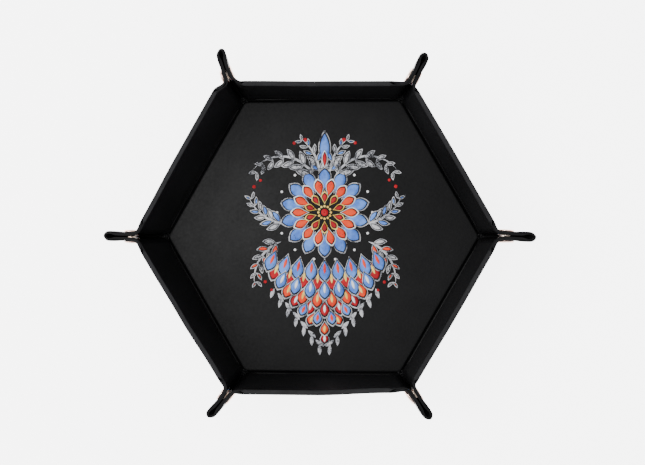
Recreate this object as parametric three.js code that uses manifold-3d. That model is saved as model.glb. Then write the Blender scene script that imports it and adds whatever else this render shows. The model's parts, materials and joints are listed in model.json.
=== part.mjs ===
// Folding hexagonal dice tray: one leather-covered sheet with seven stiffening
// boards. Six walls fold up along the edges of a hexagonal floor. The sheet
// left between two neighbouring walls is pinched into a pair of flaps, an ear,
// and a snap fastener holds the two flaps of each ear together.
//
// Everything is drawn as the flat sheet it is cut from, in nested groups, and
// the groups are then turned about the fold lines: floor, wall, ear flap.
// Millimetres, +Z up, origin on the table under the middle of the floor.

import * as THREE from "three";
import * as BufferGeometryUtils from "three/addons/utils/BufferGeometryUtils.js";
import Module from "manifold-3d";

// ---- driving dimensions ----

const SIDES = 6;
const FLOOR_APOTHEM = 86; // middle of the floor to a wall's fold line
const WALL_REACH = 41; // fold line to the sheet's outer edge
const WALL_LEAN = 80; // degrees from the floor when snapped up
const GROOVE = 2.2; // half the soft groove between floor and wall boards

const COVER = 0.6; // outer leather
const BOARD = 1.6;
const LINER = 0.6; // inner leather
const BOND = 0.1; // glue line between two layers
const SKIN_EDGE = 2.2; // how far leather runs on past a board's lower edge
const BOARD_END = 7; // a wall board's end to the crease
const FLOOR_CORNER = 3; // radius on the corners of the floor panel

const EAR = 1.4; // thickness of an ear flap: cover and liner together
const EAR_STANDOFF = 1.9; // middle of a snapped flap to the corner's plane
const EAR_RAISE = 0.7; // flap's middle above the wall's middle, flat on a table
const EAR_START = 5; // fold line to where the free part of a flap begins
const EAR_TIP = 5; // radius on the sheet's corner
const WALL_CREASE_GAP = 1.2; // wall panel to the crease
const EAR_CREASE_GAP = 0.6; // ear flap to the crease
const EAR_EDGE_GAP = 0.7; // ear flap to its twin when the sheet lies flat

const SNAP_OUT = 6.8; // crease to snap centre
const SNAP_UP = 34.5; // along the crease to snap centre
const SNAP_CAP = 5; // cap radius
const SNAP_CAP_RISE = 1.3;
const SNAP_POST = 1.4; // post radius
const SNAP_HOLE = 1.65; // hole in the flap
const SNAP_RING = 4.2; // socket and stud flange radius
const SNAP_BORE = 2.0; // socket bore radius
const SNAP_KNOB = 1.6; // stud knob radius
const SNAP_FIT = 0.1; // metal to leather
const SNAP_FACETS = 22;

// ---- what follows from them ----

const THICKNESS = COVER + BOND + BOARD + BOND + LINER;
const FOLD_HEIGHT = THICKNESS / 2;
const WALL_HALF = FLOOR_APOTHEM * Math.tan(Math.PI / SIDES);
const LEAN = THREE.MathUtils.degToRad(WALL_LEAN);
const HALF_CORNER = Math.PI / SIDES;

// The crease between a wall and its flap runs where the leaning wall meets the
// upright plane through the corner: this much off the wall's square end.
const CREASE_SLANT = Math.atan(Math.cos(LEAN) * Math.tan(HALF_CORNER));
// Turn about the crease that brings the flap parallel to that upright plane.
const CREASE_TURN = Math.acos(Math.sin(LEAN) * Math.sin(HALF_CORNER));
// The crease sits back from the corner, so the two flaps stand off each other.
const CREASE_BACK =
  (EAR_STANDOFF + EAR_RAISE * Math.sin(LEAN) * Math.sin(HALF_CORNER)) / Math.cos(HALF_CORNER);

// ---- materials ----

const MATERIALS = {
  cover: { color: 0x151517, roughness: 0.62, metalness: 0 },
  liner: { color: 0x1f1f22, roughness: 0.7, metalness: 0 },
  ear: { color: 0x18181a, roughness: 0.62, metalness: 0 },
  board: { color: 0x3a3a3e, roughness: 0.9, metalness: 0 },
  metal: { color: 0xd9a08c, roughness: 0.25, metalness: 1 },
};

// ---- geometry helpers ----

const wasm = await Module();
wasm.setup();

/** A node: a named mesh with a material of its own. */
function node(name, geometry, materialName) {
  const material = new THREE.MeshStandardMaterial(MATERIALS[materialName]);
  const mesh = new THREE.Mesh(geometry, material);
  mesh.name = name;
  return mesh;
}

/** A closed three.js geometry as a manifold solid. */
function toSolid(geometry) {
  const bare = geometry.clone();
  bare.deleteAttribute("normal");
  bare.deleteAttribute("uv");
  const welded = BufferGeometryUtils.mergeVertices(bare, 1e-5);
  return new wasm.Manifold(
    new wasm.Mesh({
      numProp: 3,
      vertProperties: new Float32Array(welded.attributes.position.array),
      triVerts: new Uint32Array(welded.index.array),
    }),
  );
}

/** A manifold solid as a three.js geometry. */
function toGeometry(solid) {
  const mesh = solid.getMesh();
  const positions = [];
  for (let i = 0; i < mesh.vertProperties.length; i += mesh.numProp) {
    positions.push(...mesh.vertProperties.slice(i, i + 3));
  }
  const geometry = new THREE.BufferGeometry();
  geometry.setAttribute("position", new THREE.Float32BufferAttribute(positions, 3));
  geometry.setIndex(Array.from(mesh.triVerts));
  geometry.computeVertexNormals();
  return geometry;
}

/** A flat plate: an outline, with round holes, between two heights. */
function plate(outline, bottom, top, holes = []) {
  const shape = new THREE.Shape(outline);
  for (const { x, y, radius } of holes) {
    const hole = new THREE.Path();
    hole.absarc(x, y, radius, 0, Math.PI * 2, true);
    shape.holes.push(hole);
  }
  const geometry = new THREE.ExtrudeGeometry(shape, {
    depth: top - bottom,
    bevelEnabled: false,
    curveSegments: SNAP_FACETS,
  });
  geometry.translate(0, 0, bottom);
  return geometry;
}

/** A liner over its board: a plate whose edges come down around a pocket. */
function pocketedLiner(outline, pocket, bottom, top) {
  const skin = toSolid(plate(outline, bottom, top));
  const room = toSolid(plate(pocket, bottom - 1, top - LINER));
  return toGeometry(skin.subtract(room));
}

/** The polygon with the corners listed in `radii` rounded off. */
function rounded(points, radii, steps = 6) {
  const outline = [];
  points.forEach((corner, i) => {
    const radius = radii[i] ?? 0;
    if (radius === 0) {
      outline.push(corner);
      return;
    }
    const before = points[(i + points.length - 1) % points.length].clone().sub(corner).normalize();
    const after = points[(i + 1) % points.length].clone().sub(corner).normalize();
    const half = Math.acos(before.dot(after)) / 2;
    const middle = before.clone().add(after).normalize();
    const centre = corner.clone().addScaledVector(middle, radius / Math.sin(half));
    const start = corner.clone().addScaledVector(before, radius / Math.tan(half)).sub(centre);
    const end = corner.clone().addScaledVector(after, radius / Math.tan(half)).sub(centre);
    const from = start.angle();
    const sweep = Math.atan2(start.cross(end), start.dot(end));
    for (let step = 0; step <= steps; step += 1) {
      const angle = from + (sweep * step) / steps;
      outline.push(
        new THREE.Vector2(centre.x + radius * Math.cos(angle), centre.y + radius * Math.sin(angle)),
      );
    }
  });
  return outline;
}

/** A solid of revolution about Z from [radius, height] pairs, axis to axis. */
function turned(profile) {
  const points = profile.map(([radius, height]) => new THREE.Vector2(radius, height));
  const geometry = new THREE.LatheGeometry(points, SNAP_FACETS);
  geometry.rotateX(Math.PI / 2);
  return toGeometry(toSolid(geometry));
}

// ---- floor panel ----

/** The floor's hexagon, its sides set back from the fold lines. */
function floorOutline(setBack, cornerRadius) {
  const radius = (FLOOR_APOTHEM - setBack) / Math.cos(HALF_CORNER);
  const corners = [];
  for (let i = 0; i < SIDES; i += 1) {
    const angle = (i * 2 * Math.PI) / SIDES;
    corners.push(new THREE.Vector2(radius * Math.cos(angle), radius * Math.sin(angle)));
  }
  return rounded(corners, Array(SIDES).fill(cornerRadius));
}

function makeFloor() {
  const floor = new THREE.Group();
  const skin = floorOutline(GROOVE, FLOOR_CORNER);
  const board = floorOutline(GROOVE + SKIN_EDGE, FLOOR_CORNER);
  const pocket = floorOutline(GROOVE + SKIN_EDGE - BOND, FLOOR_CORNER);
  const boardBottom = COVER + BOND;
  floor.add(node("base_cover", plate(skin, 0, COVER), "cover"));
  floor.add(node("base_board", plate(board, boardBottom, boardBottom + BOARD), "board"));
  floor.add(node("base_liner", pocketedLiner(skin, pocket, boardBottom, THICKNESS), "liner"));
  return floor;
}

// ---- wall panels ----

/** Half the wall's length at a height up the wall, out to the crease. */
function creaseAt(up) {
  return WALL_HALF - CREASE_BACK + up * Math.tan(CREASE_SLANT);
}

/** A wall's trapezium, with its ends set back from the creases. */
function wallOutline(bottom, top, endGap) {
  const slantGap = endGap / Math.cos(CREASE_SLANT);
  const low = creaseAt(bottom) - slantGap;
  const high = creaseAt(top) - slantGap;
  return [
    new THREE.Vector2(-low, bottom),
    new THREE.Vector2(low, bottom),
    new THREE.Vector2(high, top),
    new THREE.Vector2(-high, top),
  ];
}

/** Wall panel, drawn flat with its fold line along X at height zero. */
function makeWall(number) {
  const wall = new THREE.Group();
  const skin = wallOutline(GROOVE, WALL_REACH, WALL_CREASE_GAP);
  const board = wallOutline(GROOVE + SKIN_EDGE, WALL_REACH, BOARD_END);
  const pocket = wallOutline(GROOVE + SKIN_EDGE - BOND, WALL_REACH + 1, BOARD_END - BOND);
  const bottom = -FOLD_HEIGHT;
  const boardBottom = bottom + COVER + BOND;
  wall.add(node(`wall_${number}_cover`, plate(skin, bottom, bottom + COVER), "cover"));
  wall.add(node(`wall_${number}_board`, plate(board, boardBottom, boardBottom + BOARD), "board"));
  wall.add(node(`wall_${number}_liner`, pocketedLiner(skin, pocket, boardBottom, FOLD_HEIGHT), "liner"));
  return wall;
}

// ---- ear flaps ----

/** Where two lines in the sheet meet, each given as a point and a direction. */
function meet(p, along, q, toward) {
  const between = q.clone().sub(p);
  const distance = between.cross(toward) / along.cross(toward);
  return p.clone().addScaledVector(along, distance);
}

/**
 * The flap's outline, with its crease along Y and the flap on the +X side.
 * It ends at the sheet's diagonal, where the corner folds onto its twin.
 */
function earOutline() {
  const origin = new THREE.Vector2();
  const toFlap = (x, y) => new THREE.Vector2(x, y).rotateAround(origin, CREASE_SLANT);
  const crease = new THREE.Vector2(0, 1);
  const square = toFlap(1, 0);
  const diagonal = toFlap(Math.sin(HALF_CORNER), Math.cos(HALF_CORNER));
  const corner = toFlap(CREASE_BACK, 0);
  const inward = new THREE.Vector2(-diagonal.y, diagonal.x);
  const edge = corner.clone().addScaledVector(inward, EAR_EDGE_GAP);
  const low = toFlap(0, EAR_START);
  const high = toFlap(0, WALL_REACH);
  const start = new THREE.Vector2(EAR_CREASE_GAP, 0);
  const points = [
    meet(start, crease, low, square),
    meet(edge, diagonal, low, square),
    meet(edge, diagonal, high, square),
    meet(start, crease, high, square),
  ];
  return rounded(points, [0, 0, EAR_TIP, 0]);
}

/** A point of the flap on the chosen side of the wall: +1 or -1. */
function onSide(points, side) {
  return points.map((point) => new THREE.Vector2(point.x * side, point.y));
}

/** The cap on the outer leather, with the post that passes through the flap. */
function capGeometry() {
  const under = -EAR / 2 - SNAP_FIT;
  const face = under - SNAP_CAP_RISE;
  return turned([
    [0, face],
    [SNAP_CAP * 0.62, face + 0.12],
    [SNAP_CAP * 0.88, face + 0.45],
    [SNAP_CAP, face + 0.95],
    [SNAP_CAP * 0.96, under],
    [SNAP_POST, under],
    [SNAP_POST, EAR / 2],
    [0, EAR / 2],
  ]);
}

/** The ring on the inner leather that the stud clicks into. */
function socketGeometry() {
  const base = EAR / 2 + SNAP_FIT;
  return turned([
    [0, base],
    [SNAP_RING, base],
    [SNAP_RING, base + 1.1],
    [SNAP_RING - 0.5, base + 1.4],
    [SNAP_BORE, base + 1.4],
    [SNAP_BORE, base + 0.2],
    [0, base + 0.2],
  ]);
}

/** The flange and knob on the twin flap. */
function studGeometry() {
  const base = EAR / 2 + SNAP_FIT;
  return turned([
    [0, base],
    [SNAP_RING, base],
    [SNAP_RING, base + 0.45],
    [SNAP_KNOB - 0.2, base + 0.45],
    [SNAP_KNOB, base + 1.2],
    [SNAP_KNOB - 0.15, base + 1.75],
    [0, base + 1.75],
  ]);
}

/** One flap with its half of the snap, drawn flat with the liner side up. */
function makeEar(name, side, fastener) {
  const ear = new THREE.Group();
  const outline = onSide(earOutline(), side);
  if (side < 0) {
    outline.reverse();
  }
  const hole = { x: SNAP_OUT * side, y: SNAP_UP, radius: SNAP_HOLE };
  ear.add(node(`ear_${name}`, plate(outline, -EAR / 2, EAR / 2, [hole]), "ear"));
  const metal = fastener === "stud" ? studGeometry() : socketGeometry();
  const inner = node(`snap_${name}_${fastener}`, metal, "metal");
  const cap = node(`snap_${name}_cap`, capGeometry(), "metal");
  for (const piece of [inner, cap]) {
    piece.position.set(SNAP_OUT * side, SNAP_UP, 0);
    ear.add(piece);
  }
  return ear;
}

// ---- assembly ----

const tray = new THREE.Group();
tray.name = "folding_dice_tray";
tray.add(makeFloor());

for (let i = 0; i < SIDES; i += 1) {
  // Walls are numbered clockwise from the back one; ear 1 is between 1 and 2.
  const number = i + 1;
  const previous = i === 0 ? SIDES : i;
  const facing = new THREE.Group();
  facing.rotation.z = (-i * 2 * Math.PI) / SIDES;
  tray.add(facing);

  const wall = makeWall(number);
  wall.position.set(0, FLOOR_APOTHEM, FOLD_HEIGHT);
  wall.rotation.x = LEAN;
  facing.add(wall);

  for (const side of [1, -1]) {
    const crease = new THREE.Group();
    crease.position.set(side * (WALL_HALF - CREASE_BACK), 0, EAR_RAISE);
    crease.rotation.z = -side * CREASE_SLANT;
    wall.add(crease);

    const name = side > 0 ? `${number}a` : `${previous}b`;
    const ear = makeEar(name, side, side > 0 ? "socket" : "stud");
    ear.rotation.y = side * CREASE_TURN;
    crease.add(ear);
  }
}

export default tray;
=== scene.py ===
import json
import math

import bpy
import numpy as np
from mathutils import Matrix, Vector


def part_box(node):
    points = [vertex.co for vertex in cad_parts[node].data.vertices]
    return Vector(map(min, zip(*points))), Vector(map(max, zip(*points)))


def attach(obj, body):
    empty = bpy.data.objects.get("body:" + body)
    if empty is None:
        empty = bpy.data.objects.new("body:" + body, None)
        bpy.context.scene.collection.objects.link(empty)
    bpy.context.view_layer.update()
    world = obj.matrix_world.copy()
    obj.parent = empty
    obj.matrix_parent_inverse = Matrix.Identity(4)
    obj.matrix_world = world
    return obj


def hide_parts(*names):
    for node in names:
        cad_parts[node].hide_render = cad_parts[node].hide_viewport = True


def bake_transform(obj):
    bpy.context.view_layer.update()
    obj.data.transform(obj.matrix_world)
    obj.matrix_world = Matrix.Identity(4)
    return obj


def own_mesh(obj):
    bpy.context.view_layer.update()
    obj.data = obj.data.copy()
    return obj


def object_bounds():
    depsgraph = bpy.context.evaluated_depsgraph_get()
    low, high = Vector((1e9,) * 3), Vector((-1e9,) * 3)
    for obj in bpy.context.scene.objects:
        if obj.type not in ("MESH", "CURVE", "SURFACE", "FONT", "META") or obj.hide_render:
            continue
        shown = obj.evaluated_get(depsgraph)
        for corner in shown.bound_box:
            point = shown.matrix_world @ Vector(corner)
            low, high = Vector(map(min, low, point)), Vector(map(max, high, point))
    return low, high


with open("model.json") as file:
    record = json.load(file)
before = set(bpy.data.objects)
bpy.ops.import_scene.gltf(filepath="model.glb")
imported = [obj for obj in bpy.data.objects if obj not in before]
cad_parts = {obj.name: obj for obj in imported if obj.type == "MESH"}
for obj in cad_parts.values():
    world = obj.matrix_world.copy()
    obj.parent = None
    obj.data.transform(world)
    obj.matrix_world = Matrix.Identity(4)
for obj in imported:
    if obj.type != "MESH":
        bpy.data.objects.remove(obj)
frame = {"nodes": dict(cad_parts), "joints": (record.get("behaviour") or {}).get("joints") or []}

# %% [markdown]
# # A folding dice tray
# The tray is one sheet of black leathercloth, two layers with stiff boards
# glued between them. The walls fold up along soft grooves, and the spare
# leathercloth at each corner is pinched into an ear that a snap holds shut.
# The frame just loaded gives every fold line, so nothing here is placed by eye.

MM = 0.001
UP = np.array([0.0, 0.0, 1.0])
cad_bounds = [[float(x) for x in corner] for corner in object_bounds()]
joints = {joint["name"]: joint for joint in frame["joints"]}
print("the frame spans", np.round(np.subtract(*reversed(cad_bounds)) / MM, 1), "mm")

# %% [markdown]
# ## Reading the fold lines
# A wall turns about the middle of its groove. Each wall gets three directions:
# along the fold, up the leaning wall, and inward, out of its lined face. Any
# point of the wall is then written the way a maker marks flat leather: so far
# along, so far up, so far in.

# %% Walls as flat drawings on leaning planes
def unit(vector):
    return vector / np.linalg.norm(vector)


def ease(t):
    """0 to 1 with a soft start and a soft stop."""
    t = np.clip(t, 0, 1)
    return t * t * (3 - 2 * t)


class Wall:
    """A wall's fold line, and its directions when it is snapped up."""

    def __init__(self, number):
        joint = joints[f"wall_{number}_fold"]
        self.name = f"wall_{number}"
        self.fold = np.array(joint["pos_m"])
        self.out = unit(self.fold * [1, 1, 0])
        self.along = -np.array(joint["axis"])
        self.lean = math.radians(joint["range_deg"][1])
        self.up = self.out * math.cos(self.lean) + UP * math.sin(self.lean)
        self.inner = np.cross(self.along, self.up)

    def place(self, along, up, inward):
        """World points from distances along, up and in from the fold line."""
        along, up, inward = (np.asarray(v)[..., None] for v in (along, up, inward))
        return self.fold + self.along * along + self.up * up + self.inner * inward


walls = [Wall(number) for number in range(1, 7)]
fold_apothem = np.linalg.norm(walls[0].fold[:2])
wall_half = fold_apothem * math.tan(math.pi / 6)
wall_reach = (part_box("wall_1_liner")[1].z - walls[0].fold[2] - 0.0003) / math.sin(walls[0].lean)
pad_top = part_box("base_liner")[1].z
print(f"fold lines {fold_apothem / MM:.1f} mm from the middle, walls {wall_reach / MM:.1f} mm tall")

# %% [markdown]
# ## The ears
# Between wall and ear the leathercloth turns on a crease. Real leather does not
# crease sharply: it rolls round with a radius of a few millimetres, tighter
# down in the corner where there is less of it. So a flap's drawing is bent
# through an arc on its way from the wall's plane into its own. Across is
# measured from the crease, along runs up it, and inward is towards the lining.

# %% Flaps as flat drawings bent round a crease
class Flap:
    """One of the two leather flaps that are snapped together as an ear."""

    def __init__(self, name, wall):
        joint = joints[f"ear_{name}_fold"]
        axis = np.array(joint["axis"])
        point = np.array(joint["pos_m"])
        self.name = f"ear_{name}"
        self.wall = wall
        self.side = 1 if name.endswith("a") else -1
        self.crease = axis * np.sign(axis[2])
        climb = (point - wall.fold) @ wall.up / (self.crease @ wall.up)
        self.origin = point - self.crease * climb
        self.raised = (self.origin - wall.fold) @ wall.inner
        self.start = (self.origin - wall.fold) @ wall.along * self.side
        self.slant = math.acos(self.crease @ wall.up)
        self.turn = math.acos(math.sin(wall.lean) * math.sin(math.pi / 6))
        self.across = np.cross(self.crease, wall.inner)
        self.across *= np.sign(self.across @ wall.along) * self.side
        turned = math.cos(self.turn), math.sin(self.turn)
        self.far = self.across * turned[0] - wall.inner * turned[1]
        self.far_inner = self.across * turned[1] + wall.inner * turned[0]
        # The sheet's corner diagonal, on which a flap meets its twin.
        back = wall_half - self.start
        self.corner = np.array([math.cos(self.slant), math.sin(self.slant)]) * back
        fan = math.pi / 6 - self.slant
        self.diagonal = np.array([math.sin(fan), math.cos(fan)])
        self.beyond = np.array([math.cos(fan), -math.sin(fan)])

    def place(self, across, along, inward, radius):
        """World points of the flap, bent round its crease with that radius."""
        reach = radius * math.tan(self.turn / 2)
        angle = np.clip((across + reach) / (2 * reach), 0, 1) * self.turn
        before, after = np.minimum(0, across + reach), np.maximum(0, across - reach)
        plane = before - reach + radius * np.sin(angle) + after * math.cos(self.turn)
        plane = plane + inward * np.sin(angle)
        lift = radius * (np.cos(angle) - 1) - after * math.sin(self.turn)
        lift = lift + inward * np.cos(angle)
        along, plane, lift = (np.asarray(v)[..., None] for v in (along, plane, lift))
        return self.origin + self.crease * along + self.across * plane + self.wall.inner * lift

    def height(self, across, along):
        """Distance up the wall, in the flat sheet, of a point of the flap."""
        return along * math.cos(self.slant) - across * math.sin(self.slant)


def crease_radius(up):
    """The leather rolls tighter near the floor, where the corner is narrow."""
    return np.clip(1.0 * MM + 0.5 * up, 1.0 * MM, 5.0 * MM)


flaps = []
for number, wall in enumerate(walls, 1):
    flaps.append(Flap(f"{number}a", wall))
    flaps.append(Flap(f"{number - 1 or 6}b", wall))
print(f"each crease leans {math.degrees(flaps[0].slant):.1f} deg off square, and the flap",
      f"turns {math.degrees(flaps[0].turn):.1f} deg about it")

# %% [markdown]
# ## Hand-made irregularity
# No real tray is a perfect hexagon. Its walls stand in or out by up to three
# millimetres, and each ear leans its own way after being pinched, and is a
# little fuller towards its tip. All of it is written as one smooth push on
# points in space, so leather, boards and snaps follow it together.
#
# The figures of the push are measurements of one tray and not design. They
# came out of a separate measuring program: those of the walls as it printed
# them, and those of the ears by arithmetic on what it printed. They are no
# example to follow. With every figure 0, `settle` leaves all points in place.

# %% A smooth push for walls and ears
# Outward push in mm along each wall's rim: anticlockwise end, middle, clockwise end.
WALL_PUSH = [(-1.8, -2.4, -2.6), (0.9, 1.1, 0.9), (0.5, 0.8, 0.2),
             (-1.9, -0.1, -0.2), (-0.7, 1.1, 2.0), (2.0, 2.8, 2.9)]
# Each ear's push in mm: outward and anticlockwise at its root, then the same at its tip.
EAR_PUSH = [(-0.75, -3.6, -0.6, 1.3), (0.8, 0.45, 1.0, -0.9), (-0.7, 3.8, 0.4, 1.0),
            (-0.4, 0.5, -0.8, -3.0), (2.2, 0.2, -0.65, -0.6), (0.5, -1.6, -1.8, -4.0)]
EAR_FULLNESS = ([2, 5, 9, 13, 16, 19, 22], [0.05, -0.1, 0.05, 0.4, 0.45, 0.2, 0.0])  # mm out, mm fuller
rim_height = cad_bounds[1][2]
rim_corner = (fold_apothem + wall_reach * math.cos(walls[0].lean)) / math.cos(math.pi / 6)


def heading(degrees):
    return np.array([math.cos(math.radians(degrees)), math.sin(math.radians(degrees))])


def rim_pushes():
    """Directions round the rim in degrees, and the push in each, in metres."""
    stops = []
    for k in range(6):
        facing = 90 - 60 * k
        for offset, push in zip((25.5, 0, -25.5), WALL_PUSH[k]):
            stops.append(((facing + offset) % 360, heading(facing) * push))
        ear = facing - 30
        outward, sideways = EAR_PUSH[k][:2]
        vector = heading(ear) * outward + heading(ear + 90) * sideways
        stops += [((ear + 1) % 360, vector), ((ear - 1) % 360, vector)]
    stops.sort(key=lambda stop: stop[0])
    stops = [(stops[-1][0] - 360, stops[-1][1])] + stops + [(stops[0][0] + 360, stops[0][1])]
    return np.array([stop[0] for stop in stops]), np.array([stop[1] for stop in stops]) * MM


PUSH_AT, PUSH_BY = rim_pushes()


def settle(points):
    """Points pushed the way this tray's walls bow and its ears lean."""
    points = np.array(points, float)
    turn = np.degrees(np.arctan2(points[..., 1], points[..., 0])) % 360
    low = np.clip(np.searchsorted(PUSH_AT, turn, side="right") - 1, 0, len(PUSH_AT) - 2)
    share = ease((turn - PUSH_AT[low]) / (PUSH_AT[low + 1] - PUSH_AT[low]))[..., None]
    push = PUSH_BY[low] * (1 - share) + PUSH_BY[low + 1] * share
    push = push * (np.clip(points[..., 2] / rim_height, 0, 1) ** 1.5)[..., None]
    corner = (np.round((60 - turn) / 60).astype(int)) % 6
    ear_turn = np.radians(60 - 60 * corner)
    outward = np.stack([np.cos(ear_turn), np.sin(ear_turn)], -1)
    sideways = np.stack([-np.sin(ear_turn), np.cos(ear_turn)], -1)
    past = (points[..., :2] * outward).sum(-1) - rim_corner
    beside = (points[..., :2] * sideways).sum(-1)
    fuller = np.interp(past / MM, *EAR_FULLNESS, left=0) * MM * np.clip(beside / (2 * MM), -1, 1)
    strength = (np.clip(past, 0, None) / (20 * MM))[..., None] ** 1.3
    tip = np.array(EAR_PUSH)[corner][..., 2:] * MM
    push = push + (tip[..., :1] * outward + tip[..., 1:] * sideways) * strength
    push = push + sideways * fuller[..., None]
    return points + np.concatenate([push, 0 * push[..., :1]], -1)


# %% [markdown]
# ## From a grid of points to a sheet of leathercloth
# Every skin is a grid of points on its good side. The mesh gets a second grid
# behind it, one thickness back along the surface's own normal, and a strip of
# faces all round, which is the cut edge. The edges of that strip are marked
# sharp so that the cut reads as a cut.

# %% Skins with real thickness and a cut edge
def grid_normals(grid):
    normals = np.cross(np.gradient(grid, axis=0), np.gradient(grid, axis=1))
    return normals / np.maximum(np.linalg.norm(normals, axis=-1), 1e-12)[..., None]


def new_mesh(name, points, faces, materials, slots=None, sharp=()):
    """An object from points and faces, smooth but for the sharp edges."""
    mesh = bpy.data.meshes.new(name)
    mesh.from_pydata([tuple(p) for p in points], [], faces)
    for material in materials:
        mesh.materials.append(material)
    mesh.polygons.foreach_set("use_smooth", [True] * len(faces))
    if slots is not None:
        mesh.polygons.foreach_set("material_index", slots)
    sharp = set(sharp)
    for edge in mesh.edges:
        if tuple(sorted(edge.vertices)) in sharp:
            edge.use_edge_sharp = True
    mesh.update()
    piece = bpy.data.objects.new(name, mesh)
    bpy.context.scene.collection.objects.link(piece)
    return piece


def skin(name, grid, thickness, toward, materials, edge_slot=lambda point: 1):
    """A leather skin whose good side is the grid and faces `toward`."""
    rows, columns = grid.shape[:2]
    normals = grid_normals(grid)
    thickness = np.broadcast_to(thickness, (rows, columns))[..., None]
    if (normals.reshape(-1, 3) @ toward).sum() < 0:
        grid, normals, thickness = grid[::-1], -normals[::-1], thickness[::-1]
    points = np.concatenate([grid.reshape(-1, 3), (grid - normals * thickness).reshape(-1, 3)])
    count = rows * columns
    index = np.arange(count).reshape(rows, columns)
    faces = []
    for i in range(rows - 1):
        for j in range(columns - 1):
            a, b, c, d = index[i, j], index[i + 1, j], index[i + 1, j + 1], index[i, j + 1]
            faces.append((a, b, c, d))
            faces.append((d + count, c + count, b + count, a + count))
    rim = [*index[:, 0], *index[-1, 1:], *index[-2::-1, -1], *index[0, -2:0:-1]]
    slots = [0, 1] * (len(faces) // 2)
    sharp = []
    for a, b in zip(rim, rim[1:] + rim[:1]):
        faces.append((b, a, a + count, b + count))
        slots.append(edge_slot((points[a] + points[b]) / 2))
        sharp += [tuple(sorted((a, b))), tuple(sorted((a + count, b + count)))]
    faces = [tuple(int(v) for v in face) for face in faces]
    sharp = [(int(a), int(b)) for a, b in sharp]
    return new_mesh(name, points, faces, materials, slots, sharp)


# %% [markdown]
# ## Shader arithmetic
# Materials are drawn by maths on patterns. Writing that maths as ordinary
# Python keeps it readable: a `Value` wraps one socket, and each operator adds
# the Math node it stands for. Every other node comes from `Finish.node`.

# %% A socket that can be added and multiplied
class Value:
    """A shader value. Arithmetic on it adds Math nodes."""

    def __init__(self, finish, socket):
        self.finish = finish
        self.socket = socket

    def math(self, operation, *values):
        inputs = dict(enumerate(values))
        return self.finish.node("ShaderNodeMath", {"operation": operation}, inputs)

    def __add__(self, other):
        return self.math("ADD", self, other)

    def __sub__(self, other):
        return self.math("SUBTRACT", self, other)

    def __rsub__(self, other):
        return self.math("SUBTRACT", other, self)

    def __mul__(self, other):
        return self.math("MULTIPLY", self, other)

    def step(self, low, high):
        """0 below low, 1 above high, smooth between them."""
        settings = {"interpolation_type": "SMOOTHSTEP"}
        return self.finish.node("ShaderNodeMapRange", settings, {0: self, 1: low, 2: high})

    __radd__ = __add__
    __rmul__ = __mul__


class Finish:
    """A material, with its Principled shader and one way to add a node."""

    def __init__(self, name, **plain):
        self.material = bpy.data.materials.new(name)
        self.material.use_nodes = True
        self.tree = self.material.node_tree
        self.shader = self.tree.nodes["Principled BSDF"]
        for socket, value in plain.items():
            self.shader.inputs[socket.replace("_", " ")].default_value = value
        self.place = self.node("ShaderNodeTexCoord", {}, {}, "Object")

    def node(self, kind, settings, inputs, output=0):
        """A node: its settings, then the values or links of its sockets."""
        node = self.tree.nodes.new(kind)
        for key, value in settings.items():
            setattr(node, key, value)
        for key, value in inputs.items():
            self.feed(node.inputs[key], value)
        return Value(self, node.outputs[output])

    def feed(self, socket, value):
        if isinstance(value, Value):
            self.tree.links.new(value.socket, socket)
        else:
            socket.default_value = value

    def noise(self, scale, detail=3.0, roughness=0.5):
        inputs = {"Vector": self.place, "Scale": scale, "Detail": detail, "Roughness": roughness}
        return self.node("ShaderNodeTexNoise", {}, inputs)

    def pebbles(self, scale, smoothness=0.6):
        """Rounded cells, as embossed leather grain has."""
        settings = {"feature": "SMOOTH_F1"}
        inputs = {"Vector": self.place, "Scale": scale, "Smoothness": smoothness}
        return self.node("ShaderNodeTexVoronoi", settings, inputs, "Distance")

    def mix(self, share, first, second):
        """A colour between two, by a share from 0 to 1."""
        colours = [(*c, 1.0) if isinstance(c, tuple) else c for c in (first, second)]
        settings = {"data_type": "RGBA"}
        return self.node("ShaderNodeMix", settings, {0: share, 6: colours[0], 7: colours[1]}, 2)

    def bump(self, height, strength, distance):
        inputs = {"Height": height, "Strength": strength, "Distance": distance}
        normal = self.node("ShaderNodeBump", {}, inputs)
        self.feed(self.shader.inputs["Normal"], normal)

    def colour(self, value):
        self.feed(self.shader.inputs["Base Color"], value)

    def roughness(self, value):
        self.feed(self.shader.inputs["Roughness"], value)


# %% [markdown]
# ## Leathercloth
# The leathercloth is fabric with a thin black plastic coat, embossed with a
# fine pebble grain. Three scales matter: the grain itself, under a millimetre;
# faint streaks and rub marks some centimetres long; and a slow change of tone.
# The cover outside has the stronger grain, the lining inside is smoother.
# The walls' lining is a lighter copy of the lining, painted light that lifts
# the walls as if more light fell on them.

# %% The cover and the lining
def leathercloth(name, dark, light, grain, depth, gloss, sheen, film):
    finish = Finish(name, Specular_IOR_Level=sheen, Coat_Roughness=0.26)
    slow = finish.noise(9.0, 4.0, 0.6)
    rub = finish.noise(55.0, 5.0, 0.65)
    pebble = finish.pebbles(grain)
    fine = finish.noise(grain * 2.2, 2.0)
    speckle = finish.noise(620.0, 2.0)
    tone = slow.step(0.35, 0.68) * 0.7 + rub.step(0.45, 0.75) * 0.3
    finish.colour(finish.mix(tone, dark, light))
    finish.roughness(gloss + (rub - 0.5) * 0.22 + pebble * 0.12)
    patchy = 0.75 + (rub - 0.5) * 1.2 + (speckle - 0.5) * 1.2
    finish.feed(finish.shader.inputs["Coat Weight"], patchy * film)
    finish.bump(pebble * 0.8 + fine * 0.25, 0.55, depth)
    return finish.material


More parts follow.
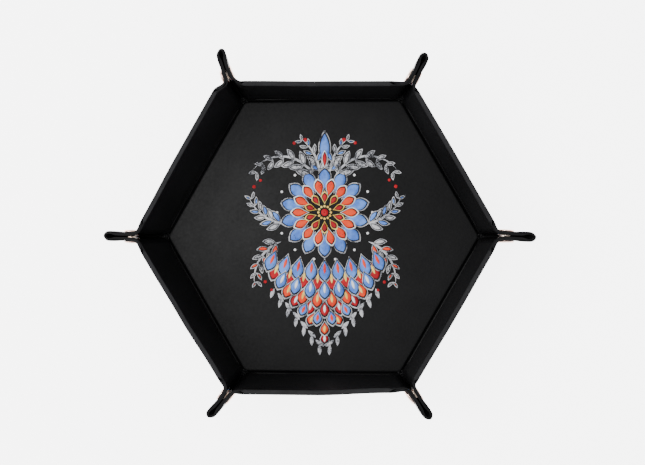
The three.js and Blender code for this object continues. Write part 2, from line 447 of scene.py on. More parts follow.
cover_leather = leathercloth("cover_leather", (0.0026, 0.0026, 0.0029), (0.0050, 0.0050, 0.0055),
                             900.0, 0.00018, 0.42, 0.14, 0.0)
liner_leather = leathercloth("liner_leather", (0.0034, 0.0034, 0.0037), (0.0066, 0.0066, 0.0071),
                             1250.0, 0.0001, 0.38, 0.075, 0.09)
# The walls' lining: the lining leather painted lighter, as painted light on the walls.
wall_lining = leathercloth("wall_lining", (0.0050, 0.0050, 0.0054), (0.0094, 0.0094, 0.0100),
                           1250.0, 0.0001, 0.38, 0.09, 0.05)
print("leathercloth:", cover_leather.name, liner_leather.name, wall_lining.name)

# %% [markdown]
# ## Cut edges and board
# Where the sheet is die-cut, the grey backing fabric shows between the black
# coats. It is dull, slightly fuzzy, and paler than anything around it. The
# board is dense grey fibreboard, and only its edge is seen, along the rim.

# %% The cut edge and the board
def fibrous(name, dark, light, scale, gloss):
    finish = Finish(name, Specular_IOR_Level=0.12)
    fibre = finish.noise(scale, 6.0, 0.7)
    patch = finish.noise(scale * 0.08, 2.0)
    finish.colour(finish.mix((fibre * 0.6 + patch * 0.4).step(0.35, 0.65), dark, light))
    finish.roughness(gloss + fibre * 0.15)
    finish.bump(fibre, 0.6, 0.00012)
    return finish.material


cut_edge = fibrous("cut_edge", (0.011, 0.011, 0.012), (0.024, 0.024, 0.026), 1800.0, 0.75)
board_edge = fibrous("board_edge", (0.016, 0.016, 0.017), (0.027, 0.027, 0.029), 1400.0, 0.8)
inked_edge = fibrous("inked_edge", (0.0025, 0.0025, 0.003), (0.008, 0.008, 0.009), 1800.0, 0.6)
ear_edge = fibrous("ear_edge", (0.005, 0.005, 0.006), (0.014, 0.014, 0.015), 1800.0, 0.6)

# %% [markdown]
# ## Rose-gold snaps
# The snaps are stamped brass with a thin rose-gold plate. Polished plate still
# has faint turning lines and tiny scratches, which stretch its highlights, so
# the roughness wanders a little and the colour warms where it is worn. The
# socket and stud have a paler plate, painted paler still as painted light, so
# that their glint in the shaded gap between the flaps reads bright.

# %% The snap metal
def plated(name, colour, worn):
    finish = Finish(name, Metallic=1.0)
    scratch = finish.noise(700.0, 6.0, 0.75)
    wear = finish.noise(130.0, 3.0)
    finish.colour(finish.mix(wear.step(0.45, 0.75), colour, worn))
    finish.roughness(0.16 + scratch * 0.14)
    finish.bump(scratch, 0.15, 0.00003)
    return finish.material


rose_gold = plated("rose_gold", (0.90, 0.66, 0.58), (0.94, 0.74, 0.62))
# Socket and stud: a paler plate, lightened further as a painted highlight for their glint in the shaded
# gap.
bright_plate = plated("bright_plate", (0.97, 0.92, 0.88), (0.94, 0.84, 0.76))

# %% [markdown]
# ## Where a wall starts: the groove
# Between the floor board and a wall board the two leathers are pressed
# together with nothing between them, which leaves a soft groove to fold on.
# The profiles below are cut across that groove, as (up, inward) pairs from the
# fold line. Beyond the groove each skin lies flat on its board, and near a
# crease, where the board has ended, the skins close up to the flap's thinness.

# %% Profiles of the two wall skins
LINER_PROFILE = np.array([
    (-0.25, 1.43), (-0.35, 0.95), (-0.17, 0.53), (0.30, 0.31), (0.95, 0.37),
    (1.71, 0.66), (2.64, 1.13), (3.60, 1.42), (4.80, 1.50), (41.0, 1.50)]) * MM
COVER_PROFILE = np.array([
    (-1.70, 1.12), (-1.52, 0.44), (-1.18, -0.21), (-0.63, -0.72), (0.08, -1.00),
    (1.01, -1.14), (2.06, -1.31), (3.20, -1.46), (4.80, -1.50), (41.0, -1.50)]) * MM
FLAP_HALF = 0.7 * MM  # half a flap's thickness
BOARD_END = 8.6 * MM  # board's end to the crease
LINER_THICK = 0.6 * MM
SKIN_FACE = 1.5 * MM  # a skin's good side over a board, from the wall's middle


def closing(up, to_crease):
    """0 where the board holds the skins apart, 1 where they are shut on each other."""
    high = ease((up - 6 * MM) / (12 * MM))
    start, finish = (6.6 + 1.6 * high) * MM, (3.2 - 9.2 * high) * MM
    return ease((start - to_crease) / (start - finish))


def smooth_profile(profile, count):
    """The same profile, rounded, with most of its points in the groove."""
    steps = np.concatenate([[0], np.cumsum(np.linalg.norm(np.diff(profile, axis=0), axis=1))])
    bend = steps[-2]
    at = np.concatenate([np.linspace(0, bend, count), np.linspace(bend, steps[-1], 14)[1:]])
    line = np.stack([np.interp(at, steps, profile[:, k]) for k in (0, 1)], -1)
    for _ in range(3):
        line[1:count - 1] = (line[:count - 2] + 2 * line[1:count - 1] + line[2:count]) / 4
    return line


def wall_skin_grid(wall, flap, profile, flap_face):
    """One wall skin's good side, from crease roll to crease roll, and its thickness."""
    line = smooth_profile(profile, 22)
    up, inward = line[:, :1], line[:, 1:]
    radius = crease_radius(up)
    reach = radius * math.tan(flap.turn / 2)
    along_crease = (up - reach * math.sin(flap.slant)) / math.cos(flap.slant)
    end = flap.start - reach * math.cos(flap.slant) + along_crease * math.sin(flap.slant)
    share = np.concatenate([-1 + ease(np.linspace(0, 0.5, 15)) * 0.32,
                            np.linspace(-0.84, 0.84, 21)[1:-1],
                            (1 - ease(np.linspace(0, 0.5, 15)) * 0.32)[::-1]])
    along = end * share[None, :]
    to_crease = end + reach - np.abs(along)
    thin = closing(up, to_crease)
    inward = inward * (1 - thin) + flap_face * thin
    filled = ease((BOARD_END - 2.4 * MM - to_crease) / (2.6 * MM))
    depth = np.abs(inward - flap.raised * filled)
    return wall.place(along, up + 0 * along, inward), LINER_THICK + (depth - LINER_THICK) * filled


# %% [markdown]
# ## Stitching it together: walls
# Each wall is a lining and a cover over a board. Both skins start in the
# groove, which belongs to floor and wall at once.

# %% The six walls
def near_crease(wall, flap):
    """Slot 2 for the cut edge past the board's end, where the dark skins close."""
    def slot(point):
        crease = flap.start + wall_reach * math.tan(flap.slant)
        return 2 if crease - abs((point - wall.fold) @ wall.along) < BOARD_END - 1.2 * MM else 1
    return slot


skins = []
for number, wall in enumerate(walls, 1):
    flap = next(f for f in flaps if f.wall is wall)
    groove = wall.place(0.0, -0.6 * MM, 0.9 * MM), wall.place(0.0, 2.0 * MM, 0.2 * MM)
    # The walls take the lining leather painted lighter, as painted light.
    for layer, profile, face, toward, leather in (
            ("liner", LINER_PROFILE, flap.raised + FLAP_HALF, wall.inner, wall_lining),
            ("cover", COVER_PROFILE, flap.raised - FLAP_HALF, -wall.inner, cover_leather)):
        grid, thickness = wall_skin_grid(wall, flap, profile, face)
        piece = skin(f"{wall.name}_{layer}_skin", settle(grid), thickness, toward,
                     [leather, cut_edge, inked_edge], near_crease(wall, flap))
        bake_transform(piece)
        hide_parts(f"{wall.name}_{layer}")
        skins.append(piece)
print(len(skins), "wall skins")

# %% [markdown]
# The board between them is what stiffens the wall. It is cut square at the
# rim, where its edge shows as a grey band, and its ends are sanded to a slope
# so that the leathers can close over them without a step.

# %% The wall boards
def board_grid(wall, flap, face):
    """Points on one face of a wall board, thinning towards its two ends."""
    up = np.linspace(4.0 * MM, wall_reach, 12)[:, None]
    end = flap.start + up * math.tan(flap.slant) - (BOARD_END - 3.4 * MM) / math.cos(flap.slant)
    share = np.concatenate([np.linspace(-1, -0.9, 9), np.linspace(-0.9, 0.9, 13)[1:-1],
                            np.linspace(0.9, 1, 9)])
    along = end * share[None, :]
    thin = 1 - ease((end - np.abs(along)) / (3.6 * MM))
    middle = flap.raised * thin
    return wall.place(along, up + 0 * along, middle + face * (1 - thin) + np.sign(face) * 0.02 * MM)


def slab(name, front, back, materials):
    """A closed solid between two grids of points."""
    rows, columns = front.shape[:2]
    count = rows * columns
    index = np.arange(count).reshape(rows, columns)
    faces = []
    for i in range(rows - 1):
        for j in range(columns - 1):
            a, b, c, d = index[i, j], index[i + 1, j], index[i + 1, j + 1], index[i, j + 1]
            faces.append((a, d, c, b))
            faces.append((a + count, b + count, c + count, d + count))
    rim = [*index[:, 0], *index[-1, 1:], *index[-2::-1, -1], *index[0, -2:0:-1]]
    sharp = []
    for a, b in zip(rim, rim[1:] + rim[:1]):
        faces.append((a, b, b + count, a + count))
        sharp += [tuple(sorted((a, b))), tuple(sorted((a + count, b + count)))]
    faces = [tuple(int(v) for v in face) for face in faces]
    points = np.concatenate([front.reshape(-1, 3), back.reshape(-1, 3)])
    return new_mesh(name, points, faces, materials, None, [(int(a), int(b)) for a, b in sharp])


for wall in walls:
    flap = next(f for f in flaps if f.wall is wall)
    front = settle(board_grid(wall, flap, 0.88 * MM))
    back = settle(board_grid(wall, flap, -0.88 * MM))
    board = slab(f"{wall.name}_board_core", front, back, [board_edge])
    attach(board, wall.name)
    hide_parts(f"{wall.name}_board")

# %% [markdown]
# ## The ear flaps
# A flap is lining and cover glued face to face. It leaves the wall through the
# crease roll, and runs on to the sheet's diagonal. There the leather rounds
# back on itself to its twin in a soft loop, which opens out when the tray is
# laid flat; the loop is a piece of its own.

# %% Flaps and the soft loops at their edge
LOOP = 3.0 * MM  # leather taken by the loop, short of the diagonal
TIP_DROP = 0.8 * MM  # how much the sheet's rounded corner takes off the tip
CURL = 0.75 * MM  # how far a flap's top edge curls over the snap


def flap_rows(flap):
    """Per row: its share of the height, its roll radius, and where it leaves the wall."""
    share = np.concatenate([np.linspace(0, 0.9, 29), np.linspace(0.9, 1, 9)[1:]])
    up = -0.3 * MM + share * (wall_reach + 0.3 * MM)
    radius = crease_radius(up)
    reach = radius * math.tan(flap.turn / 2)
    left = np.stack([-reach, (up - reach * math.sin(flap.slant)) / math.cos(flap.slant)], -1)
    return share, radius, left


def loop_point(flap, share, past, drop):
    """Flat position on the row `share`, `past` the diagonal (negative: short)."""
    climb = flap.height(*flap.diagonal)
    base = flap.height(*flap.corner)
    top = (wall_reach - drop - base - past * flap.height(*flap.beyond)) / climb
    bottom = 0.4 * MM
    along = bottom + share * (top - bottom)
    return flap.corner + flap.diagonal * along[..., None] + flap.beyond * np.asarray(past)[..., None]


def flap_grid(flap, side):
    """A flap's good side, lining (side 1) or cover (side -1), and its thickness."""
    share, radius, left = flap_rows(flap)
    right = loop_point(flap, share, np.full_like(share, -LOOP), 0.0)
    t = np.concatenate([np.linspace(0, 0.36, 16), np.linspace(0.36, 1, 10)[1:]])[None, :, None]
    flat = left[:, None] * (1 - t) + right[:, None] * t
    up = share[:, None] * wall_reach
    apart_still = 1 - closing(up, -flat[..., 0])
    depth = FLAP_HALF + (SKIN_FACE - side * flap.raised - FLAP_HALF) * apart_still
    if side > 0:
        over_snap = ease((t[..., 0] - 0.1) / 0.2) * ease((1.0 - t[..., 0]) / 0.2)
        depth = depth + CURL * over_snap * ease((up - 38.2 * MM) / (2.2 * MM))
    return flap.place(flat[..., 0], flat[..., 1], side * depth, radius[:, None]), depth


def loop_grid(flap, inward, reach_in):
    """The quarter turn from the flap to the plane where its twin takes over."""
    share, radius, _ = flap_rows(flap)
    angle = np.linspace(0, math.pi / 2, 15)[None, :]
    push = np.hypot(np.sin(angle) * reach_in, np.cos(angle) * LOOP)
    outward = -inward  # the cover is on the loop's outer side
    past = LOOP * (np.sin(angle) - 1) + outward * np.sin(angle) * reach_in / push
    lift = reach_in * (1 - np.cos(angle)) - outward * np.cos(angle) * LOOP / push
    drop = TIP_DROP * ease((past + 2.4 * MM) / (2.6 * MM))
    past, lift, drop = (v + 0 * share[:, None] for v in (past, lift, drop))
    # A tab runs back inside the flap, so that loop and flap overlap with no slit between them.
    tab = np.clip(share[:, None] * 10.8 * MM, 0.05 * MM, 1.8 * MM)
    past = np.concatenate([-LOOP - tab, past], axis=1)
    lift = np.concatenate([lift[:, :1] * 0.75, lift], axis=1)
    drop = np.concatenate([drop[:, :1], drop], axis=1)
    flat = loop_point(flap, share[:, None] + 0 * past, past, drop)
    return flap.place(flat[..., 0], flat[..., 1], lift, radius[:, None])


apart = 1.9 * MM
for flap in flaps:
    wall = flap.wall
    middle = 20 * MM
    roll = [flap.place(np.array(x), np.array(middle), np.array(0.0), np.array(5 * MM))
            for x in (-3 * MM, 3 * MM)]
    for layer, side, toward, leather in (
            ("liner", 1, flap.far_inner, liner_leather),
            ("cover", -1, -flap.far_inner, cover_leather)):
        edge = inked_edge if layer == "liner" else ear_edge
        grid, thickness = flap_grid(flap, side)
        piece = skin(f"{flap.name}_{layer}_skin", settle(grid), thickness, toward, [leather, edge])
        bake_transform(piece)
        if layer == "cover":
            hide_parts(flap.name)
        grid = loop_grid(flap, side * FLAP_HALF, apart)
        loop = skin(f"{flap.name}_{layer}_loop", settle(grid), FLAP_HALF,
                    toward - flap.far if layer == "liner" else toward + flap.far,
                    [leather, edge])
        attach(loop, flap.name)
        anchor = flap.origin + flap.far * 15 * MM
        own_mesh(loop)
print(len(flaps), "flaps, each with a lining and a cover")

# %% [markdown]
# ## The snaps
# A snap has four parts: a cap outside each flap, and between the flaps a
# socket ring and a stud that clicks into it. They are turned shapes, so each
# is a profile spun round the snap's axis, at the place the frame's own snap
# parts give. The caps have a rolled rim and a low dome.

# %% Turned snap parts
def turned(name, profile, centre, axis, material, steps=40):
    """A profile of (radius, height) pairs in millimetres, spun round an axis."""
    side = unit(np.cross(axis, UP))
    other = np.cross(axis, side)
    angles = np.linspace(0, 2 * math.pi, steps, endpoint=False)
    points = [centre + axis * profile[0][1] * MM]
    for radius, height in profile[1:-1]:
        for angle in angles:
            spoke = side * math.cos(angle) + other * math.sin(angle)
            points.append(centre + spoke * radius * MM + axis * height * MM)
    points.append(centre + axis * profile[-1][1] * MM)
    rings = len(profile) - 2
    last = len(points) - 1
    faces = []
    for k in range(steps):
        n = (k + 1) % steps
        faces.append((0, 1 + n, 1 + k))
        faces.append((last, 1 + (rings - 1) * steps + k, 1 + (rings - 1) * steps + n))
        for ring in range(rings - 1):
            a, b = 1 + ring * steps, 1 + (ring + 1) * steps
            faces.append((a + k, a + n, b + n, b + k))
    return new_mesh(name, settle(np.array(points)), faces, [material])


CAP = [(0, -2.15), (1.6, -2.13), (3.0, -2.02), (3.5, -1.93), (3.7, -1.98), (4.2, -2.0), (4.6, -1.86),
       (4.9, -1.55), (5.0, -1.25), (4.95, -0.95), (4.7, -0.78), (1.4, -0.75), (1.4, 0.6), (0, 0.6)]
SOCKET = [(0, 0.75), (4.2, 0.75), (4.7, 0.82), (4.8, 1.05), (4.7, 1.3), (4.3, 1.42), (3.9, 1.9), (3.7, 2.2),
          (2.6, 2.2), (2.1, 2.05), (2.0, 1.7), (2.0, 1.0), (0, 1.0)]
STUD = [(0, 0.75), (4.3, 0.75), (4.7, 0.82), (4.8, 1.0), (4.7, 1.2), (4.2, 1.3), (1.6, 1.3), (1.4, 1.35),
        (1.6, 2.0), (1.5, 2.4), (1.2, 2.55), (0, 2.55)]

for flap in flaps:
    name = flap.name[4:]
    inner = "socket" if name.endswith("a") else "stud"
    # Socket and stud take the plate painted lighter, as a painted highlight.
    for part, profile, material in (("cap", CAP, rose_gold),
                                    (inner, SOCKET if inner == "socket" else STUD, bright_plate)):
        node = f"snap_{name}_{part}"
        low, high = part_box(node)
        centre = np.array((low + high) / 2)
        # The axis passes through the part's middle, so drop back to the flap.
        centre = centre - flap.far_inner * ((centre - flap.origin) @ flap.far_inner)
        piece = turned(f"{node}_turned", profile, centre, flap.far_inner, material)
        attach(piece, flap.name)
        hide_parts(node)

# %% [markdown]
# ## The floor
# The floor pad is the same sandwich, six-sided, with its edge pressed down
# into the groove all round. It is built as rings: each ring is a hexagon with
# rounded corners, so the edge profile is just a list of ring sizes and
# heights. A very slight swell keeps the flat part from looking machined.

# %% The floor's lining and cover
def hexagon(apothem, corner, per_side=24):
    """Points round a hexagon with rounded corners, corners towards +X."""
    corner = min(corner, apothem * 0.9)
    inner = (apothem - corner) / math.cos(math.pi / 6)
    points = []
    for k in range(6):
        here = math.radians(60 * k)
        centre = np.array([math.cos(here), math.sin(here)]) * inner
        for angle in np.linspace(-30, 30, 7):
            turn = here + math.radians(angle)
            points.append(centre + corner * np.array([math.cos(turn), math.sin(turn)]))
        after = math.radians(60 * k + 60)
        start = points[-1]
        end = np.array([math.cos(after), math.sin(after)]) * inner
        end = end + corner * np.array([math.cos(here + math.pi / 6), math.sin(here + math.pi / 6)])
        for t in np.linspace(0, 1, per_side + 1)[1:-1]:
            points.append(start * (1 - t) + end * t)
    return np.array(points)


def floor_swell(x, y):
    """A slow rise and fall of a tenth of a millimetre, as glued leather has."""
    return 0.10 * MM * np.sin(x * 47 + 1) * np.cos(y * 39 + 2)


def ringed(name, rings, thickness, toward, materials):
    """A hexagonal skin from (apothem, corner radius, height) rings."""
    loops = []
    for apothem, corner, height in rings:
        outline = hexagon(apothem, corner)
        loops.append(np.column_stack([outline, np.full(len(outline), height)]))
    grid = np.array(loops)
    grid = np.concatenate([grid, grid[:, :1]], axis=1)
    rows, columns = grid.shape[0], grid.shape[1] - 1
    swell = floor_swell(grid[..., 0], grid[..., 1])
    normals = grid_normals(grid)
    if (normals[rows // 2] @ toward).sum() < 0:
        normals = -normals
    normals[0] = toward
    grid = grid[:, :-1]
    normals = normals[:, :-1]
    flat = grid[..., 2] > 0.5 * MM
    grid[..., 2] += swell[:, :-1] * flat
    back = grid - normals * thickness
    centre = np.array([[0, 0, grid[0, 0, 2]], [0, 0, grid[0, 0, 2] - toward[2] * thickness]])
    points = np.concatenate([grid.reshape(-1, 3), back.reshape(-1, 3), centre])
    count = rows * columns
    index = np.arange(count).reshape(rows, columns)
    faces, slots = [], []
    up = toward[2] > 0
    for k in range(columns):
        n = (k + 1) % columns
        fans = [(2 * count, index[0, k], index[0, n]),
                (2 * count + 1, index[0, n] + count, index[0, k] + count)]
        quads = []
        for i in range(rows - 1):
            quads.append((index[i, k], index[i + 1, k], index[i + 1, n], index[i, n]))
            quads.append(tuple(v + count for v in reversed(quads[-1])))
        edge = (index[-1, k], index[-1, k] + count, index[-1, n] + count, index[-1, n])
        for face, slot in [(f, s) for f, s in zip(fans, (0, 1))] + \
                [(q, i % 2) for i, q in enumerate(quads)] + [(edge, 1)]:
            face = tuple(int(v) for v in face)
            faces.append(face if up else face[::-1])
            slots.append(slot)
    return new_mesh(name, points, faces, materials, slots)


LIP = [(3.4, 3.2, 0.0), (3.0, 3.1, 0.02), (2.7, 3.0, 0.08), (2.45, 2.9, 0.20), (2.25, 2.8, 0.42),
       (2.10, 2.7, 0.75), (1.95, 2.6, 1.10), (1.70, 2.5, 1.38), (1.35, 2.3, 1.52), (0.90, 2.0, 1.58)]
floor_edge = fold_apothem - 4.0 * MM
top_rings = [(share * floor_edge, 3.4 * MM + (1 - share) * 30 * MM, pad_top)
             for share in np.linspace(0.06, 1, 26)]
top_rings += [(fold_apothem - back * MM, corner * MM, pad_top - drop * MM) for back, corner, drop in LIP]
floor_liner = ringed("floor_liner", top_rings, LINER_THICK, UP, [liner_leather, cut_edge])
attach(floor_liner, "floor")
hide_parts("base_liner")

UNDER = [(2.2, 2.8, 0.0), (1.6, 2.6, 0.02), (1.1, 2.3, 0.08), (0.7, 2.0, 0.16)]
under_rings = [(share * (fold_apothem - 3 * MM), 3 * MM + (1 - share) * 30 * MM, 0.0)
               for share in np.linspace(0.06, 1, 14)]
under_rings += [(fold_apothem - back * MM, corner * MM, lift * MM) for back, corner, lift in UNDER]
floor_cover = ringed("floor_cover", under_rings, LINER_THICK, -UP, [cover_leather, cut_edge])
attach(floor_cover, "floor")
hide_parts("base_cover")

# %% [markdown]
# The floor board stays as the frame made it, since the skins hide it all round.
# It only takes on the same grey board.

# %% The floor board's material
frame["nodes"]["base_board"].data.materials.clear()
frame["nodes"]["base_board"].data.materials.append(board_edge)

# %% [markdown]
# ## Where the folds meet
# At each corner of the floor two grooves and the ear's fold run together into
# one point, and the leather there puckers into a small dimple with a raised
# ring. It stays with the floor, so it is a small pad of its own, drawn in
# polar rings. It is kept inside the two walls, but for a narrow tongue that
# runs out under the ear and closes the gap left there when the tray is flat.

# %% Corner tucks
def corner_tuck(number):
    turn = math.radians(60 - 60 * number)
    outward = np.array([math.cos(turn), math.sin(turn), 0])
    sideways = np.array([-math.sin(turn), math.cos(turn), 0])
    centre = outward * (fold_apothem / math.cos(math.pi / 6) + 0.2 * MM)
    radii = np.concatenate([[0.02], np.linspace(0.4, 3.4, 13), [4.2, 4.8]])
    angles = np.linspace(0, 2 * math.pi, 37)[:-1]
    distance, angle = np.meshgrid(radii, angles, indexing="ij")
    ring = np.exp(-((distance - 1.55) / 0.36) ** 2) * (0.75 + 0.25 * np.cos(angle - number))
    fold = np.exp(-((distance - 2.75) / 0.3) ** 2) * np.clip(np.cos(angle * 2 + number), 0, 1)
    height = 1.36 + 0.34 * ring + 0.22 * fold - 0.03 * distance ** 2 * (distance > 3.4)
    ahead, beside = distance * np.cos(angle) * MM, distance * np.sin(angle) * MM
    tongue = 1.3 * MM
    width = np.maximum(0.6 * MM - ahead * math.cos(math.pi / 6), tongue) / math.sin(math.pi / 6)
    beside = np.clip(beside, -width, width)
    flat = centre + outward * ahead[..., None] + sideways * beside[..., None]
    top = flat + UP * height[..., None] * MM
    low = flat + UP * 0.12 * MM
    rings, steps = distance.shape
    points = [*top.reshape(-1, 3), *low[::-1].reshape(-1, 3)]
    faces = [tuple(range(steps))[::-1], tuple(range((2 * rings - 1) * steps, 2 * rings * steps))]
    for r in range(2 * rings - 1):
        for k in range(steps):
            n = (k + 1) % steps
            faces.append((r * steps + k, r * steps + n, (r + 1) * steps + n, (r + 1) * steps + k))
    faces = [face[::-1] for face in faces]
    return new_mesh(f"corner_tuck_{number}", points, faces, [liner_leather])


for number in range(1, 7):
    tuck = corner_tuck(number)
    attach(tuck, "floor")

# %% [markdown]
# ## The sheets' flat sizes
# The tray is cut from two flat hexagons of leathercloth, one inside and one
# outside. Here each is one floor panel, six wall panels and twelve flaps, so
# each panel's flat size follows from the fold lines: the floor between its
# folds, a wall between its two creases, and a flap from crease to diagonal.

# %% The wall and flap panels' flat areas, worked out and not kept
widen = wall_reach * math.tan(flaps[0].slant)
wall_low, wall_high = 2 * flaps[0].start, 2 * (flaps[0].start + widen)
for wall in walls:
    for layer in ("liner", "cover"):
        (wall_low + wall_high) / 2 * wall_reach
flap_low = wall_half - flaps[0].start
flap_high = flap_low + wall_reach * math.tan(math.pi / 6) - widen
for flap in flaps:
    for layer in ("liner", "cover"):
        (flap_low + flap_high) / 2 * wall_reach

# %% [markdown]
# ## The printed ornament
# The floor carries a screen print. A print is a stack of thin ink layers, each
# one colour, and each a set of simple shapes. Here the motif is a flower with
# leaves, and every leaf is a blade: a curved spine with a width that swells
# and comes to a point. Nesting a smaller blade in black and then a coloured
# one gives the outlined look of a print with bare leather between its colours.

# %% Ink
def ink(name, bright, worn, coverage):
    """Printed ink: a little translucent and speckled where it has worn."""
    finish = Finish(name, Specular_IOR_Level=0.3)
    speck = finish.noise(1500.0, 5.0, 0.75)
    cloud = finish.noise(160.0, 4.0, 0.6)
    missing = (speck * 0.65 + cloud * 0.35).step(coverage, coverage + 0.035)
    tone = cloud.step(0.35, 0.65)
    finish.colour(finish.mix(missing, finish.mix(tone, bright, worn), (0.006, 0.006, 0.007)))
    finish.roughness(0.5 + speck * 0.2)
    finish.bump(speck, 0.4, 0.00006)
    return finish.material


INKS = {
    "silver": ink("silver_ink", (0.62, 0.62, 0.65), (0.36, 0.37, 0.41), 0.525),
    "sky": ink("sky_ink", (0.15, 0.33, 0.86), (0.07, 0.18, 0.62), 0.60),
    "orange": ink("orange_ink", (0.90, 0.075, 0.012), (0.80, 0.035, 0.008), 0.60),
    "crimson": ink("crimson_ink", (0.52, 0.004, 0.012), (0.34, 0.002, 0.008), 0.60),
    "cream": ink("cream_ink", (0.95, 0.78, 0.24), (0.88, 0.50, 0.08), 0.60),
    "white": ink("white_ink", (0.93, 0.93, 0.93), (0.80, 0.80, 0.82), 0.62),
    "black": ink("black_ink", (0.004, 0.004, 0.005), (0.007, 0.007, 0.008), 0.70),
}
PRINT_CENTRE = np.array([1.6, -2.2])
shapes = {colour: ([], []) for colour in INKS}


# %% [markdown]
# A blade is measured in millimetres on the print. Each one is a closed sliver,
# with its top a few hundredths of a millimetre above the leather, higher for
# each later ink, and its underside sunk into the leather.

# %% Blades and beads
INK_STEP = 0.03


def add_shape(colour, outline_rows, layer):
    """A closed sliver from rows of points across it, added to one ink."""
    points, faces = shapes[colour]
    rows, columns = outline_rows.shape[:2]
    first = len(points)
    for lift in (pad_top / MM + INK_STEP * (layer + 1), pad_top / MM - 0.05):
        for x, y in (outline_rows.reshape(-1, 2) + PRINT_CENTRE) * MM:
            points.append((x, y, lift * MM + floor_swell(x, y)))
    count = rows * columns
    index = np.arange(count).reshape(rows, columns) + first
    # A mirrored shape runs the other way round, so its faces are turned over.
    middle = rows // 2
    a, b, c = outline_rows[middle, 0], outline_rows[middle + 1, 0], outline_rows[middle, -1]
    turned_over = np.cross(b - a, c - a) < 0
    for i in range(rows - 1):
        for j in range(columns - 1):
            quad = [index[i, j], index[i + 1, j], index[i + 1, j + 1], index[i, j + 1]]
            for face in (quad, [v + count for v in quad[::-1]]):
                faces.append(tuple(int(v) for v in (face[::-1] if turned_over else face)))
    rim = [*index[:, 0], *index[-1, 1:], *index[-2::-1, -1], *index[0, -2:0:-1]]
    for a, b in zip(rim, rim[1:] + rim[:1]):
        face = (b, a, a + count, b + count)
        faces.append(tuple(int(v) for v in (face[::-1] if turned_over else face)))


def blade(colour, start, angle, length, width, layer=0, curl=0.0, belly=0.5, mirror=False):
    """A leaf from `start`, heading `angle` degrees and bending by `curl`."""
    t = np.linspace(0, 1, 13)
    heading = np.radians(angle + curl * t)
    steps = np.stack([np.cos(heading), np.sin(heading)], -1) * length / 12
    spine = np.array(start, float) + np.concatenate([[[0, 0]], np.cumsum(steps[:-1], axis=0)])
    across = np.stack([-np.sin(heading), np.cos(heading)], -1)
    swell = np.sin(np.pi * t ** (math.log(0.5) / math.log(belly))) ** 0.8
    half = width / 2 * np.maximum(swell, 0.03)
    rows = spine[:, None] + across[:, None] * half[:, None, None] * np.array([-1, -0.4, 0.4, 1])[:, None]
    add_shape(colour, rows, layer)
    if mirror:
        add_shape(colour, rows * [-1, 1], layer)


def nested(colours, start, angle, length, width, gap=0.7, layer=0, curl=0.0, belly=0.5, mirror=False):
    """Blades inside one another, with a black line between one and the next."""
    heading = math.radians(angle)
    for k, colour in enumerate(colours):
        inset = gap * k
        point = np.array(start, float) + inset * 1.6 * np.array([math.cos(heading), math.sin(heading)])
        blade(colour, point, angle, length - inset * 3.6, width - inset * 2, layer + k,
              curl, belly, mirror)


def bead(colour, centre, radius, layer=0, hole=0.0, mirror=False):
    """A round dot, or a ring where it has a hole."""
    angles = np.linspace(0, 2 * math.pi, 19)
    circle = np.stack([np.cos(angles), np.sin(angles)], -1)
    rows = np.array(centre, float) + circle[:, None] * np.array([max(hole, 0.02), radius])[:, None]
    add_shape(colour, rows, layer)
    if mirror:
        add_shape(colour, rows * [-1, 1], layer)


# %% [markdown]
# The blossom sits a little above the middle. Under it hangs a long bud of
# overlapping scales, each row smaller than the one before, and leafy sprays
# curl away above and to both sides.

# %% Blossom and bud
BLOSSOM = np.array([0.0, 17.0])
for ring, (petals, inner, length, width, colours) in enumerate([
        (14, 13.0, 15.5, 8.4, ("silver", "black", "sky")),
        (14, 9.5, 12.0, 6.2, ("white", "black", "orange")),
        (10, 5.2, 8.0, 4.4, ("cream", "black", "crimson"))]):
    for k in range(petals):
        turn = 90 + 360 * (k + 0.5 * (ring % 2)) / petals
        foot = BLOSSOM + inner * np.array([math.cos(math.radians(turn)), math.sin(math.radians(turn))])
        nested(colours, foot, turn, length, width, 0.45, layer=3 * ring, belly=0.62)
for k in range(12):
    turn = math.radians(30 * k)
    bead("cream", BLOSSOM + 3.9 * np.array([math.cos(turn), math.sin(turn)]), 0.75, layer=10)
bead("crimson", BLOSSOM, 2.2, layer=10)
for k in range(14):
    turn = math.radians(90 + 360 * (k + 0.5) / 14)
    bead("white", BLOSSOM + 29.6 * np.array([math.cos(turn), math.sin(turn)]), 0.8, layer=1)

SCALES = [("sky", "orange"), ("crimson", "cream"), ("sky", "white"), ("orange", "cream"),
          ("crimson", "white"), ("sky", "orange"), ("orange", "cream"), ("crimson", "white")]
for row, (fill, heart) in enumerate(SCALES):
    petals = (9, 8, 7, 6, 5, 4, 3, 1)[row]
    spread = (30.0, 27.5, 24.0, 20.0, 15.6, 11.0, 6.2, 0.0)[row]
    for k in range(petals):
        place = 0.0 if petals == 1 else (2 * k / (petals - 1) - 1)
        foot = (spread * place, -11.5 - 6.4 * row + 5.5 * abs(place) ** 2)
        length = 15.5 - 0.9 * row
        nested(("silver", "black", fill), foot, -90 + 24 * place, length, 8.6 - 0.35 * row,
               0.5, layer=3 * (7 - row) % 9 + 1, belly=0.6)
        blade(heart, (foot[0] + 3 * math.sin(math.radians(24 * place)), foot[1] - 3), -90 + 24 * place,
              length * 0.42, 1.7, layer=12)

# %% [markdown]
# Sprays are drawn once on the right and mirrored to the left.

# %% Leaf sprays
def spray(start, angle, curl, length, leaves, leaf_length, colours):
    """A bending stem with leaves on both sides that shrink to its end."""
    blade("silver", start, angle, length, 1.5, layer=0, curl=curl, belly=0.3, mirror=True)
    for k in range(leaves):
        t = (k + 0.6) / leaves
        steps = np.radians(angle + curl * np.linspace(0, t, 13))
        point = np.array(start) + length * t * np.array([np.cos(steps).mean(), np.sin(steps).mean()])
        along = angle + curl * t
        size = leaf_length * (1 - 0.55 * t)
        for side in (1, -1):
            colour = colours[(k + (side > 0)) % len(colours)]
            nested(("silver", "black", colour), point, along + side * 52, size, size * 0.42, 0.42,
                   layer=1, curl=-side * 26, mirror=True)


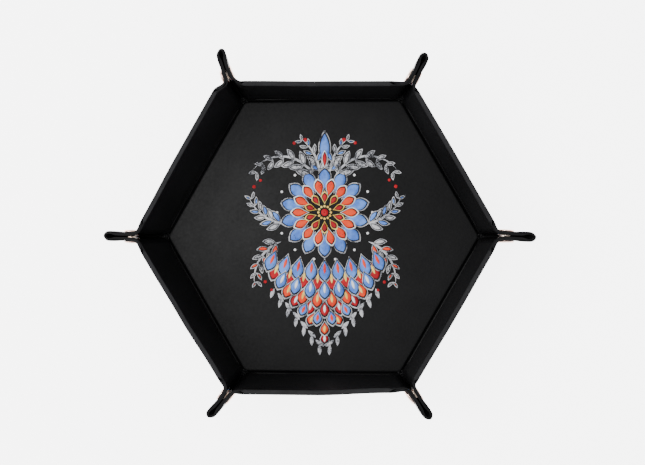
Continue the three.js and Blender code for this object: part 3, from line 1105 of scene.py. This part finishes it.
spray((6, 38), 62, -118, 47, 7, 11.0, ("silver",))
spray((3, 40), 86, -52, 27, 5, 9.0, ("sky", "silver"))
spray((25, 10), 8, 62, 29, 6, 10.0, ("silver", "sky"))
spray((27, -1), -22, -78, 34, 6, 9.5, ("orange", "silver"))
nested(("silver", "black", "sky"), (0, 44), 90, 24, 8.0, 0.6, layer=1, belly=0.55)
nested(("white", "black", "crimson"), (0, 44.5), 90, 11, 3.6, 0.4, layer=4, belly=0.55)
BEADS = ((12, 62, 1.2), (19, 60, 1.0), (44, 33, 1.1), (40, 37, 0.9), (37, -26, 1.0), (33, -31, 0.9))
for x, y, radius in BEADS:
    bead("crimson", (x, y), radius, layer=2, mirror=True)
for k in range(13):
    start = (31.5 - 2.35 * k, -30.0 - 2.9 * k)
    blade("silver", start, -70 - 50 * (k % 2) - 2 * k, 6.5, 2.4, layer=0, mirror=True)

for colour, (points, faces) in shapes.items():
    layer = new_mesh(f"print_{colour}", points, faces, [INKS[colour]])
    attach(layer, "floor")
    print(f"print_{colour}: {len(faces)} faces")

# %% [markdown]
# ## Stage, light and camera
# A product shot on a white floor that glows a little. A small softbox above
# and to the left gives the thin coat on the leathercloth its glint, a large
# one far out on the left lights the walls and plates, and the white
# surroundings do the rest. The floor lies just under the table plane, because
# a few parts dip below that plane when the tray is opened flat.

# %% Stage
STAGE_DROP = 3.2 * MM
bpy.ops.mesh.primitive_plane_add(size=6, location=(0, 0, -STAGE_DROP))
stage = bpy.context.object
stage.name = "stage_floor"
paper = Finish("white_paper", Specular_IOR_Level=0.0, Roughness=0.9, Emission_Strength=5.0)
paper.colour(paper.mix(paper.noise(3.0).step(0.3, 0.7), (0.93, 0.93, 0.93), (0.96, 0.96, 0.96)))
paper.shader.inputs["Emission Color"].default_value = (1, 1, 1, 1)
stage.data.materials.append(paper.material)

world = bpy.data.worlds.new("white_room")
bpy.context.scene.world = world
world.use_nodes = True
world.node_tree.nodes["Background"].inputs["Color"].default_value = (1, 1, 1, 1)
world.node_tree.nodes["Background"].inputs["Strength"].default_value = 1.05


def soft_light(name, place, size, watts):
    light = bpy.data.lights.new(name, "AREA")
    light.shape = "DISK"
    light.size = size
    light.energy = watts
    lamp = bpy.data.objects.new(name, light)
    bpy.context.scene.collection.objects.link(lamp)
    lamp.location = place
    lamp.rotation_euler = (-Vector(place)).to_track_quat("-Z", "Y").to_euler()
    return lamp


soft_light("gloss_softbox", (-0.25, 0.04, 1.25), 0.16, 2.4)
soft_light("key_softbox", (-1.2, 0.3, 1.3), 0.9, 20)

# %% Camera
camera = bpy.data.objects.new("camera", bpy.data.cameras.new("camera"))
bpy.context.scene.collection.objects.link(camera)
bpy.context.scene.camera = camera
aside, above = 0.081, 0.960
camera.location = (aside, 0.0, above)
camera.rotation_euler = (0.0, math.atan2(aside, above), 0.0)
camera.data.sensor_width = 36
camera.data.lens = 86.6
camera.data.shift_y = 0.006
